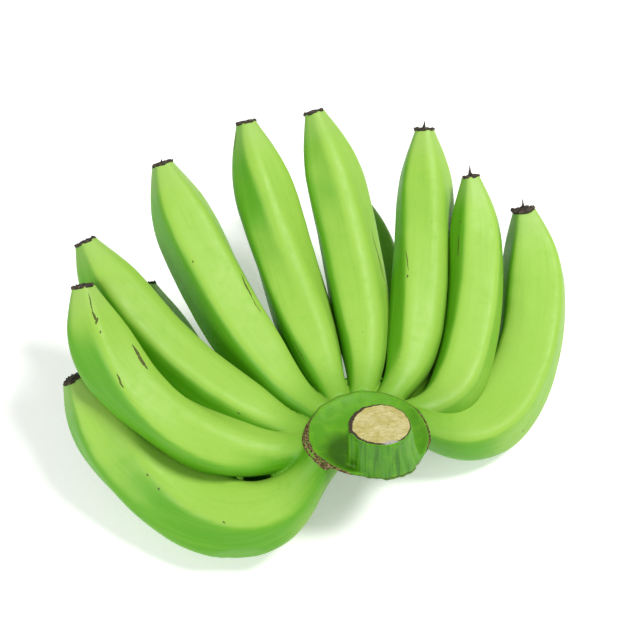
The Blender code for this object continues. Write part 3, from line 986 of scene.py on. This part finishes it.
def build_crown():
    """The crown, its stub and the necks as one skin, cut off where the fingers' own skins take over."""
    obj = new_mesh_object("crown_and_necks", *joined_bodies(rough_bodies()))
    mesh = remeshed(obj)
    points = np.empty(len(mesh.vertices) * 3)
    mesh.vertices.foreach_get("co", points)
    points = pull_to_skin(points.reshape(-1, 3), 4)
    weights, places = in_chunks(points)[1:]
    nearest = np.argmax(weights, axis=0)
    past = np.full(len(points), -FAR)
    rod = to_crown(points)
    marks = np.zeros((len(points), 3))
    marks[:, 2] = 1.0
    for index, shape in enumerate(SHAPES):
        share, angle = places[index]
        chosen = nearest == index + 1
        past[chosen] = (share * shape.length - shape.join)[chosen]
        rod[chosen] = peel_place(shape, share, angle)[chosen]
        weight = weights[index + 1][:, None]
        own = finger_marks(shape, share, angle)
        marks[:, :2] += weight * own[:, :2]
        marks[:, 2:] -= weight * (1.0 - own[:, 2:])
    mesh.vertices.foreach_set("co", keep_in_box(points).ravel())
    mesh.update()
    set_attribute(obj, "peel_place", rod)
    set_attribute(obj, "peel_marks", marks)
    # Painted light on the crown's upper faces; painted shade where it runs into the lower row's necks.
    lower_row_shade = sum(weights[index + 1] for index, shape in enumerate(SHAPES) if shape.finger.row)
    paint_light_and_shade(obj, 1.0 - 0.65 * lower_row_shade)
    trimmed = bmesh.new()
    trimmed.from_mesh(mesh)
    trimmed.verts.ensure_lookup_table()
    beyond = past > 2.4 * JOIN_BAND
    far_vertices = [vert for vert in trimmed.verts if beyond[vert.index]]
    bmesh.ops.delete(trimmed, geom=far_vertices, context="VERTS")
    trimmed.to_mesh(mesh)
    trimmed.free()
    mesh.shade_smooth()
    place_piece(obj, PEEL)


def build_cut_face():
    """The dry fibrous cut on the stub: an uneven oval plate with a torn dark rim."""
    rng = np.random.default_rng(41)
    rings, sectors = 30, 120
    around = np.linspace(0.0, math.tau, sectors, endpoint=False)
    across_half, deep_half, middle_x, middle_y = STUB_STEPS[-1, 1:]
    edge = (1.0 + stub_ribs(around, STUB_TOP)) * (0.985 + rng.normal(0.0, 0.006, sectors))
    back_left = np.exp(-((np.degrees(around) - 160.0) / 55.0) ** 2)
    vertices = [from_crown((middle_x, middle_y, STUB_TOP + 0.3 * MM))]
    places = [(0.0, 0.0, 0.0)]
    rim = [0.0]
    for ring in range(1, rings + 1):
        share = ring / rings
        across = across_half * share * edge * np.cos(around)
        deep = deep_half * share * edge * np.sin(around)
        waves = (0.16 * np.sin(900.0 * across + 2.0) * np.cos(520.0 * deep)
                 + 0.12 * np.sin(1700.0 * deep + 0.8 * np.sin(600.0 * across)))
        height = STUB_TOP + (0.30 + waves + rng.normal(0.0, 0.05, sectors)) * MM
        if share > 0.90:
            height = height + (0.45 * rng.uniform(0.0, 1.0, sectors) + 0.25 * back_left - 0.15) * MM
        if ring == rings:
            height = np.full(sectors, STUB_TOP - 1.0 * MM) - rng.uniform(0.0, 0.5, sectors) * MM
            across = across * 1.012
            deep = deep * 1.012
        vertices.extend(from_crown(np.stack((across + middle_x, deep + middle_y, height), axis=-1)))
        places.extend(np.stack((across, deep, np.zeros(sectors)), axis=-1))
        rim.extend(smooth_step((share - 0.90 + 0.10 * back_left) / 0.08))
    faces = [(0, 1 + index, 1 + (index + 1) % sectors) for index in range(sectors)]
    for face in grid_faces(rings, sectors):
        faces.append(tuple(1 + index for index in reversed(face)))
    obj = new_mesh_object("stalk_cut_face", np.array(vertices), faces, closed=False)
    places = np.array(places)
    patch = np.hypot((places[:, 0] - 6.0 * MM) / (5.0 * MM), (places[:, 1] + 14.0 * MM) / (2.4 * MM))
    set_attribute(obj, "cut_place", places)
    set_attribute(obj, "cut_rim", np.array(rim, dtype=float))
    set_attribute(obj, "cut_grey", 1.0 - smooth_step((patch - 0.6) / 0.6))
    place_piece(obj, CUT)


def skin_along(origins, rays, reach):
    """Where rays from inside the crown come out of its skin, by halving."""
    near = np.zeros(len(origins))
    far = np.full(len(origins), reach)
    for _ in range(13):
        middle = 0.5 * (near + far)
        inside = in_chunks(origins + rays * middle[:, None])[0] < 0.0
        near = np.where(inside, middle, near)
        far = np.where(inside, far, middle)
    return near


def arc(degrees, start, rise, end, fall):
    """1 over a stretch of a round outline, easing from 0 at its start and back at its end."""
    return smooth_step((degrees - start) / rise) * (1.0 - smooth_step((degrees - end) / fall))


def build_cork_ring():
    """The scar of the old leaf round the crown's lip: a dark line that widens to a corky band."""
    rng = np.random.default_rng(57)
    count, cross = 400, 11
    around = np.linspace(0.0, math.tau, count, endpoint=False)
    degrees = np.degrees(around)
    left = arc(degrees, 142.0, 55.0, 246.0, 14.0)
    right = np.maximum(smooth_step((degrees - 335.0) / 18.0), 1.0 - smooth_step((degrees - 22.0) / 26.0))
    front = arc(degrees, 246.0, 10.0, 330.0, 16.0)
    ragged = np.convolve(np.tile(rng.normal(0.0, 1.0, count), 3), np.ones(5) / 5.0, "same")[count:2 * count]
    high = 42.0 - 22.0 * front + 9.0 * left + 4.0 * right + 2.5 * ragged * (0.3 + left)
    wide = (1.05 + 4.4 * left + 1.1 * right - 0.25 * front + 0.45 * ragged * (0.3 + left + right)) * MM
    inner = (LIP_RADIUS - 4.0 * MM) * (1.0 + lip_wobble(around))
    origins = np.stack((inner * np.cos(around), inner * np.sin(around), np.full(count, -3.0 * MM)), axis=-1)
    origin = from_crown(origins)
    tilts = np.linspace(52.0, -42.0, 24)
    skin = []
    ways = []
    for tilt in np.radians(tilts):
        flat = math.cos(tilt)
        rise = np.full(count, math.sin(tilt))
        local = np.stack((flat * np.cos(around), flat * np.sin(around), rise), axis=-1)
        rays = local @ CROWN_AXES
        ways.append(rays)
        skin.append(origin + rays * skin_along(origin, rays, 12.0 * MM)[:, None])
    skin = np.array(skin)
    ways = np.array(ways)
    run = np.vstack((np.zeros(count), np.cumsum(np.linalg.norm(np.diff(skin, axis=0), axis=2), axis=0)))
    rows = []
    for step in range(cross):
        across = step / (cross - 1)
        proud = math.sin(math.pi * across) ** 0.6
        lift = (-0.12 + proud * (0.32 + 0.40 * left + 0.25 * right)
                + proud * rng.normal(0.0, 0.13, count) * (0.3 + left + right)) * MM
        row = []
        for index in range(count):
            start = np.interp(-high[index], -tilts, run[:, index])
            place = np.interp(start + wide[index] * across, run[:, index], np.arange(len(tilts)))
            low = min(int(place), len(tilts) - 2)
            part = place - low
            point = (1.0 - part) * skin[low, index] + part * skin[low + 1, index]
            way = (1.0 - part) * ways[low, index] + part * ways[low + 1, index]
            row.append(point + way * lift[index])
        rows.append(np.array(row))
    rows.append(origin + 0.75 * (0.5 * (rows[0] + rows[-1]) - origin))
    faces = grid_faces(len(rows), count)
    last = (len(rows) - 1) * count
    for index in range(count):
        after = (index + 1) % count
        faces.append((last + index, last + after, after, index))
    obj = new_mesh_object("crown_scar_ring", np.concatenate(rows), faces)
    set_attribute(obj, "proud", np.tile(np.clip(left + 0.8 * right, 0.0, 1.0), len(rows)))
    place_piece(obj, CORK)


def spike(base, out, side, length, thick, bend, shaded_sides=6, steps=5):
    """A small tapered shred that bends sideways; returns vertices and faces."""
    rings = []
    across = np.cross(out, side)
    turn = np.linspace(0.0, math.tau, shaded_sides, endpoint=False)
    for step in range(steps):
        share = step / (steps - 1)
        centre = base + out * length * share + side * bend * share * share
        radius = thick * (1.0 - share) ** 0.8 + 0.05 * MM
        rings.append(centre + (np.cos(turn)[:, None] * side + 0.6 * np.sin(turn)[:, None] * across) * radius)
    return closed_tube(rings)


def build_blossom(shape):
    """The dried flower on a finger's tip: a crumpled dark disc with a torn collar and a few shreds."""
    rng = np.random.default_rng(300 + shape.number)
    centre, side, upward, forward = shape.frame_at(np.array(1.0))
    radius = shape.half * TIP_SHARE
    sectors = 48
    around = np.linspace(0.0, math.tau, sectors, endpoint=False)
    rough = rng.normal(0.0, 1.0, sectors)
    rough = (np.roll(rough, 1) + 2.0 * rough + np.roll(rough, -1)) / 3.0
    lobes = 0.5 + 0.5 * np.cos(rng.integers(2, 5) * around + rng.uniform(0.0, 6.0))
    spoke = np.cos(around)[:, None] * side + np.sin(around)[:, None] * upward
    rings = []
    papery = []
    for out, lift, torn, painted_light_and_tone in ((0.70, 0.3, 0.0, 0.0), (0.93, 0.2, 0.02, 0.0), (0.98, 0.7, 0.05, 0.3),
                                  (0.95, 1.5, 0.08, 0.9), (0.87, 2.2, 0.09, 1.0), (0.78, 1.9, 0.08, 0.6),
                                  (0.60, 1.8, 0.07, 0.5), (0.40, 2.2, 0.07, 0.3), (0.18, 2.7, 0.03, 0.0)):
        wave = 1.0 + torn * (rough + 0.6 * rng.normal(0.0, 1.0, sectors))
        ragged = torn * (7.0 * (lobes - 0.4) + 4.0 * rough + 3.0 * rng.normal(0.0, 1.0, sectors))
        height = np.maximum(lift + ragged, 0.25) * MM
        rings.append(centre + spoke * (radius * out * wave)[:, None] + forward * height[:, None])
        papery.extend(np.full(sectors, painted_light_and_tone) * (0.35 + 0.65 * (rng.uniform(0.0, 1.0, sectors) > 0.5)))
    parts = [closed_tube(rings)]
    for _ in range(rng.integers(6, 10)):
        turn = rng.uniform(0.0, math.tau)
        ray = math.cos(turn) * side + math.sin(turn) * upward
        out = forward + ray * rng.uniform(-0.3, 0.9)
        out = out / np.linalg.norm(out)
        across = np.cross(out, ray)
        across = across / np.linalg.norm(across)
        base = centre + ray * radius * rng.uniform(0.3, 0.95) + forward * 0.8 * MM
        parts.append(spike(base, out, across, rng.uniform(1.2, 2.6) * MM, rng.uniform(0.5, 1.2) * MM,
                           rng.uniform(-1.0, 1.0) * MM))
        papery.extend([rng.uniform(0.0, 0.5)] * len(parts[-1][0]))
    if shape.number in THREADS:
        tall = THREADS[shape.number] * MM
        for height, thick, lean in ((tall, 1.0 * MM, 0.3 * MM), (0.60 * tall, 1.9 * MM, -0.5 * MM)):
            parts.append(spike(centre + forward * 1.0 * MM, forward, side, height, thick, lean, 8, 7))
            papery.extend([0.1] * len(parts[-1][0]))
    vertices, faces = joined_bodies(parts)
    obj = new_mesh_object(f"blossom_end_{shape.number:02d}", keep_in_box(vertices), faces)
    set_attribute(obj, "papery", np.array(papery))
    place_piece(obj, DRIED)


def build_scars():
    """Thin raised strips on the peel, wider in their middle and ragged along their edges."""
    rng = np.random.default_rng(97)
    steps = 30
    along = np.linspace(0.0, 1.0, steps)
    body = np.sin(math.pi * np.clip(along, 0.02, 0.98)) ** 0.6
    rows = ((-1.0, -0.10), (-0.55, 0.05), (0.0, 0.09), (0.55, 0.05), (1.0, -0.10))
    vertices = []
    faces = []
    for number, first_share, first_angle, last_share, last_angle, wide in SCARS:
        shape = SHAPES[number - 1]
        share = first_share + (last_share - first_share) * along
        angle = np.radians(first_angle + (last_angle - first_angle) * along)
        angle = angle + 0.008 * np.sin(9.0 * along + number)
        half = 0.65 * wide * MM * body * (1.0 + 0.15 * rng.normal(0.0, 1.0, steps))
        half = np.maximum(half, 0.08 * MM)
        base = len(vertices) * steps
        for across, lift in rows:
            turned = angle + across * half / (shape.half * girth(shape.finger, share))
            radius = shape.radius(share, turned) + lift * MM * np.maximum(body, 0.3)
            vertices.append(shape.points_round(share, turned, radius))
        for row in range(len(rows) - 1):
            for step in range(steps - 1):
                low = base + row * steps + step
                faces.append((low, low + steps, low + steps + 1, low + 1))
    obj = new_mesh_object("peel_scars", keep_in_box(np.concatenate(vertices)), faces, closed=False)
    place_piece(obj, SCAR)


for finger_shape in SHAPES:
    build_finger(finger_shape)
    build_blossom(finger_shape)
build_crown()
build_cut_face()
build_cork_ring()
build_scars()

# The picture: a white table, a large soft lamp from the right, and the camera.
TARGET = Vector(CROWN_CENTRE) + Vector((-0.027, 0.0564, 0.0295))
CAMERA_DISTANCE = 0.700
CAMERA_ELEVATION = math.radians(55.0)
FILM_WIDTH = 36.0
LENS = 70.0

# The lamps: place, width, power and tint.  The room: how bright it is all round.
LAMPS = {
    "key": ((0.68, 0.02, 1.34), 0.45, 20.0, (1.0, 0.99, 0.97)),
    "fill": ((-0.90, -0.80, 0.75), 0.60, 7.5, (1.0, 1.0, 1.0)),
}
LAMP_TARGET = Vector((0.0, 0.0, 0.03))
ROOM_LIGHT = 0.40


def aim(obj, target):
    obj.rotation_euler = (target - obj.location).to_track_quat("-Z", "Y").to_euler()


def build_table():
    grid = bmesh.new()
    bmesh.ops.create_grid(grid, x_segments=24, y_segments=24, size=3.0)
    mesh = bpy.data.meshes.new("table")
    grid.to_mesh(mesh)
    grid.free()
    mesh.materials.append(floor_material())
    table = new_object("table", mesh)
    table.location.z = -0.2 * MM


def add_area_light(name, location, size, power, tint):
    data = bpy.data.lights.new(name, "AREA")
    data.shape = "DISK"
    data.size = size
    data.energy = power
    data.color = tint
    light = new_object(name, data)
    light.location = location
    aim(light, LAMP_TARGET)


def light_scene():
    world = bpy.data.worlds.new("studio")
    world.use_nodes = True
    background = world.node_tree.nodes["Background"]
    background.inputs["Color"].default_value = (1.0, 1.0, 1.0, 1.0)
    background.inputs["Strength"].default_value = ROOM_LIGHT
    bpy.context.scene.world = world
    for name, lamp in LAMPS.items():
        add_area_light(name, *lamp)
    bpy.context.scene.view_settings.view_transform = "Standard"
    bpy.context.scene.view_settings.look = "None"


def add_camera():
    data = bpy.data.cameras.new("camera")
    data.sensor_width = FILM_WIDTH
    data.lens = LENS
    camera = new_object("camera", data)
    back = Vector((0.0, -math.cos(CAMERA_ELEVATION), math.sin(CAMERA_ELEVATION)))
    camera.location = TARGET + CAMERA_DISTANCE * back
    aim(camera, TARGET)
    bpy.context.scene.camera = camera


build_table()
light_scene()
add_camera()
